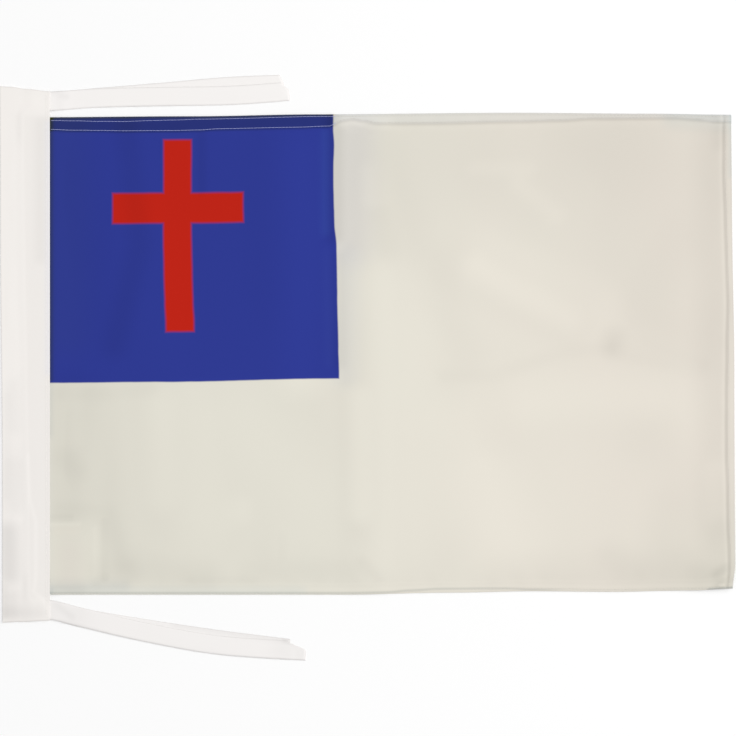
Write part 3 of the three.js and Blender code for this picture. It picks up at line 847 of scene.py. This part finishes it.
def heading_tone(column, row, x, y):
    """What strokes, the fold, the margin inside and the open edge do to the heading's colour."""
    margin = follow(MARGIN_EDGE, y)
    doubled = smooth(margin - 0.6, margin + 0.8, x) * smooth(-4, 0, y) * (1 - smooth(299, 303, y))
    light = FOLD_LIGHT * groove(abs(column), 1.2) - DOUBLED_SHADE * doubled
    light -= OPEN_EDGE_SHADE * smooth(OPEN_X - HEADING_SEAM, OPEN_X - 0.8, x)
    return toning(HEADING_STROKES, x, y) + Vector((light,) * 3)


def make_heading():
    reach = HEADING_WIDTH + HEADING_QUARTER
    side = lines(HEADING_QUARTER, (reach, 1))
    bend = [lerp(-HEADING_QUARTER, HEADING_QUARTER, k / 10) for k in range(1, 10)]
    columns = [-at for at in reversed(side)] + bend + side
    heading = lay_sheet(
        "heading_tape", columns, HEADING_ROWS, place_heading, TAPE, heading_cloth, heading_cloth, heading_tone
    )
    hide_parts("heading")
    return heading, (2 * reach, HEADING_ROWS[-1] - HEADING_ROWS[0])


# Ties


def between(before, start, end, after, share):
    """A coordinate on the smooth curve from start to end, with the points before and after them."""
    straight = end - before
    bent = 2 * before - 5 * start + 4 * end - after
    twisted = 3 * start - before - 3 * end + after
    return 0.5 * (2 * start + straight * share + bent * share**2 + twisted * share**3)


def soft_curve(points):
    """Points close together on a smooth curve through the given ones, with the length up to each."""
    ends = [points[0], *points, points[-1]]
    made = []
    for stretch in zip(ends, ends[1:], ends[2:], ends[3:]):
        for k in range(CURVE_STEPS):
            made.append(tuple(between(*places, k / CURVE_STEPS) for places in zip(*stretch)))
    made.append(points[-1])
    lengths = [0]
    for start, end in zip(made, made[1:]):
        lengths.append(lengths[-1] + math.dist(start, end))
    return made, lengths


def on_curve(curve, at):
    """Place and direction at a length along a curve."""
    points, lengths = curve
    k = max(1, next((k for k, length in enumerate(lengths) if length >= at), len(lengths) - 1))
    (x1, y1), (x2, y2) = points[k - 1], points[k]
    span = lengths[k] - lengths[k - 1]
    share = (at - lengths[k - 1]) / span
    return (lerp(x1, x2, share), lerp(y1, y2, share)), ((x2 - x1) / span, (y2 - y1) / span)


def curve_y(curve, x):
    """Height of a curve that runs towards the fly, at x."""
    points, _ = curve
    for (x1, y1), (x2, y2) in zip(points, points[1:]):
        if x2 >= x:
            return lerp(y1, y2, (x - x1) / (x2 - x1))
    return points[-1][1]


def make_tie(name, tails):
    curves = {which: soft_curve(tails[which]) for which in ("under", "over")}
    quarter = math.pi * TIE_TURN / 2
    under_length = curves["under"][1][-1] + quarter
    over_length = curves["over"][1][-1] + quarter
    end_x = tails["under"][-1][0]

    def tail_height(x, y, upper):
        sewn_in = (TAPE + AIR) * (1 - smooth(LEDGE_X, FLOOR_X, x))
        wave = 0.5 * (1 + noise.noise(Vector((x / TIE_WAVE["length"], TIE_WAVE[name], 0))))
        wave *= smooth(FLOOR_X, TIE_WAVE["full"], x)
        height = RIBBON / 2 + sewn_in + TIE_WAVE["height"] * wave
        if upper:
            beside = abs(y - curve_y(curves["under"], x)) - TIE_WIDTH / 2
            outside = max(beside, x - end_x)
            height += (RIBBON + AIR) * (1 - smooth(TAIL_EDGE, TAIL_DOWN, outside))
        return height

    def place_tie(column, row):
        """column runs along the tape, from the fold: minus for the lower tail."""
        upper = column > 0
        which = "over" if upper else "under"
        length = abs(column) - quarter
        total = curves[which][1][-1]
        across = row / TIE_WIDTH
        cut = tails["cut_back"][which] * smooth(0, 0.5, across) * smooth(CUT_FROM, 1, length / total)
        (x, y), (ahead_x, ahead_y) = on_curve(curves[which], max(0, length) - cut)
        x, y = x - ahead_y * row, y + ahead_x * row
        if length > 0:
            return x, y, tail_height(x, y, upper)
        turned = column / TIE_TURN
        back = TIE_TURN * math.cos(turned)
        middle = RIBBON / 2 + TAPE + AIR + TIE_TURN
        return x - back * ahead_x, y - back * ahead_y, middle + TIE_TURN * math.sin(turned)

    def tie_tone(column, row, x, y):
        return toning(TIE_STROKES, x, y)

    bend = [lerp(-quarter, quarter, k / 8) for k in range(1, 8)]
    under = lines(quarter, (under_length, 1.5))
    over = lines(quarter, (over_length, 1.5))
    columns = [-at for at in reversed(under)] + bend + over
    rows = lines(-TIE_WIDTH / 2, (TIE_WIDTH / 2, 1.2))
    tie = lay_sheet(name + "_tape", columns, rows, place_tie, RIBBON, tie_cloth, tie_cloth, tie_tone)
    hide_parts(name)
    return tie, (TIE_WIDTH, under_length + over_length)


# Patch


def make_patch():
    width, height = PATCH["right"] - PATCH["left"], PATCH["top"] - PATCH["bottom"]
    middle = in_metres((PATCH["left"] + PATCH["right"]) / 2, (PATCH["bottom"] + PATCH["top"]) / 2, CLOTH / 2)
    bm = bmesh.new()
    form = Matrix.Translation(middle) @ Matrix.Diagonal((width / 1000, height / 1000, 1, 1))
    bmesh.ops.create_grid(bm, x_segments=1, y_segments=1, size=0.5, matrix=form)
    fly_corners = [vert for vert in bm.verts if vert.co.x > middle.x]
    bmesh.ops.bevel(
        bm, geom=fly_corners, offset=PATCH["corner"] / 1000, affect="VERTICES", segments=6, profile=0.5,
        material=-1,
    )
    patch = sheet_piece("patch_cloth", bm, CLOTH, patch_cloth, patch_cloth)
    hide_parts("back_patch")
    return patch, (width, height)


# Seams


def stitch_mesh():
    """One stitch: a short length of thread along x, round at its ends."""
    bm = bmesh.new()
    bmesh.ops.create_cone(
        bm, cap_ends=True, segments=6, radius1=THREAD / 2000, radius2=THREAD / 2000,
        depth=STITCH_SHOWN / 1000, matrix=Matrix.Rotation(math.pi / 2, 4, "Y"),
    )
    ends = [edge for edge in bm.edges if abs(edge.verts[0].co.x - edge.verts[1].co.x) < 1e-6]
    bmesh.ops.bevel(
        bm, geom=ends, offset=THREAD / 5000, affect="EDGES", segments=1, profile=0.5, material=-1
    )
    for face in bm.faces:
        face.smooth = True
    return mesh_of("stitch", bm)


def sew(name, rows, thread):
    """Stitches along rows of places in millimetres."""
    seam = bmesh.new()
    stitch = stitch_mesh()
    for row in rows:
        points = [in_metres(*place) for place in row]
        travelled, due = 0, STITCH / 2000
        for start, end in zip(points, points[1:]):
            span = (end - start).length
            turn = (end - start).to_track_quat("X", "Z").to_matrix().to_4x4()
            while due <= travelled + span:
                sewn = stitch.copy()
                sewn.transform(Matrix.Translation(start.lerp(end, (due - travelled) / span)) @ turn)
                seam.from_mesh(sewn)
                bpy.data.meshes.remove(sewn)
                due += STITCH / 1000
            travelled += span
    mesh = mesh_of(name, seam)
    bpy.data.meshes.remove(stitch)
    mesh.materials.append(thread)
    piece = put(name, mesh)
    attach(piece, "root")
    return piece


def on_field(x, y, side):
    """Place of the thread on the field's face or on its back."""
    flag_x, flag_y, height = field_surface(x, y)
    if side == "back":
        under = height + drawn_in(x, y) - hem_rise(x, y) - CLOTH / 2
        return flag_x, flag_y, under + THREAD_ON_BACK
    return flag_x, flag_y, height + CLOTH / 2 + THREAD_ON_FACE


def seam_rows(places):
    """The row of thread on the face and the one on the back."""
    return [[on_field(x, y, side) for x, y in places] for side in ("face", "back")]


def make_seams():
    run = lines(OPEN_X + 0.6, (FLY_X - SEAM_END, SEAM_STEP))
    up = lines(SEAM_END, (FIELD_TOP - SEAM_END, SEAM_STEP))
    top = seam_rows([(x, FIELD_TOP - follow(TOP_SEAM, x)) for x in run])
    top += seam_rows([(x, FIELD_TOP - follow(TOP_HEM_WIDTH, x) + SEAM_INSIDE) for x in run])
    bottom = seam_rows([(x, follow(BOTTOM_SEAM, x)) for x in run])
    fly = seam_rows([(FLY_X - follow(FLY_HEM_WIDTH, y) + SEAM_INSIDE, y) for y in up])
    low, high = follow(TAPE_BOTTOM, OPEN_X) + SEAM_END, follow(TAPE_TOP, OPEN_X) - SEAM_END
    along_heading = lines(low, (high, SEAM_STEP))
    x = OPEN_X - HEADING_SEAM
    heading = [
        [(x, y, heading_surface(x, y)[2] + TAPE / 2 + THREAD_ON_FACE) for y in along_heading],
        [(x, y, THREAD_ON_BACK) for y in along_heading],
    ]
    return [
        sew("top_hem_thread", top, hem_thread),
        sew("bottom_hem_thread", bottom, hem_thread),
        sew("fly_hem_thread", fly, hem_thread),
        sew("heading_thread", heading, tape_thread),
    ]


field, field_cut = make_field()
heading, heading_cut = make_heading()
patch, patch_cut = make_patch()
upper_tie, upper_cut = make_tie("upper_tie", TIES["upper_tie"])
lower_tie, lower_cut = make_tie("lower_tie", TIES["lower_tie"])
top_thread, bottom_thread, fly_thread, heading_thread = make_seams()


# Floor, light and camera

ABOVE = 3.0  # metres from the camera to the flag
SHOWN_WIDTH = 0.4629  # metres of the floor across the picture
PICTURE_MIDDLE = (0.0003, -0.0002)
FLOOR_RADIUS = 9
FLOOR_GAP = 0.00003  # metres from the flag's lowest stitches down to the floor

floor_bm = bmesh.new()
bmesh.ops.create_circle(floor_bm, cap_ends=True, segments=64, radius=FLOOR_RADIUS)
bmesh.ops.translate(floor_bm, verts=floor_bm.verts, vec=(0, 0, -FLOOR_GAP))
floor_mesh = mesh_of("floor", floor_bm)
floor_mesh.materials.append(floor_finish)
floor = put("floor", floor_mesh)


def soft_light(name, place, size, power):
    """A square softbox that faces the flag."""
    data = bpy.data.lights.new(name, "AREA")
    data.shape = "SQUARE"
    data.size = size
    data.energy = power
    lamp = put(name, data)
    lamp.location = place
    lamp.rotation_euler = (-Vector(place)).to_track_quat("-Z", "Y").to_euler()


soft_light("overhead softbox", (0.4, -0.3, 5), size=3, power=82)
soft_light("side softbox", (3.2, 1.0, 1.9), size=2.2, power=65)

sky = bpy.data.worlds.new("pale studio")
sky.use_nodes = True
sky.node_tree.nodes["Background"].inputs["Color"].default_value = (1, 1, 1, 1)
sky.node_tree.nodes["Background"].inputs["Strength"].default_value = 0.53
bpy.context.scene.world = sky
bpy.context.scene.view_settings.view_transform = "Standard"

camera_data = bpy.data.cameras.new("camera")
camera_data.sensor_width = 36
camera_data.lens = camera_data.sensor_width * ABOVE / SHOWN_WIDTH
camera_data.clip_end = 30
camera = put("camera", camera_data)
camera.location = (*PICTURE_MIDDLE, ABOVE)
bpy.context.scene.camera = camera
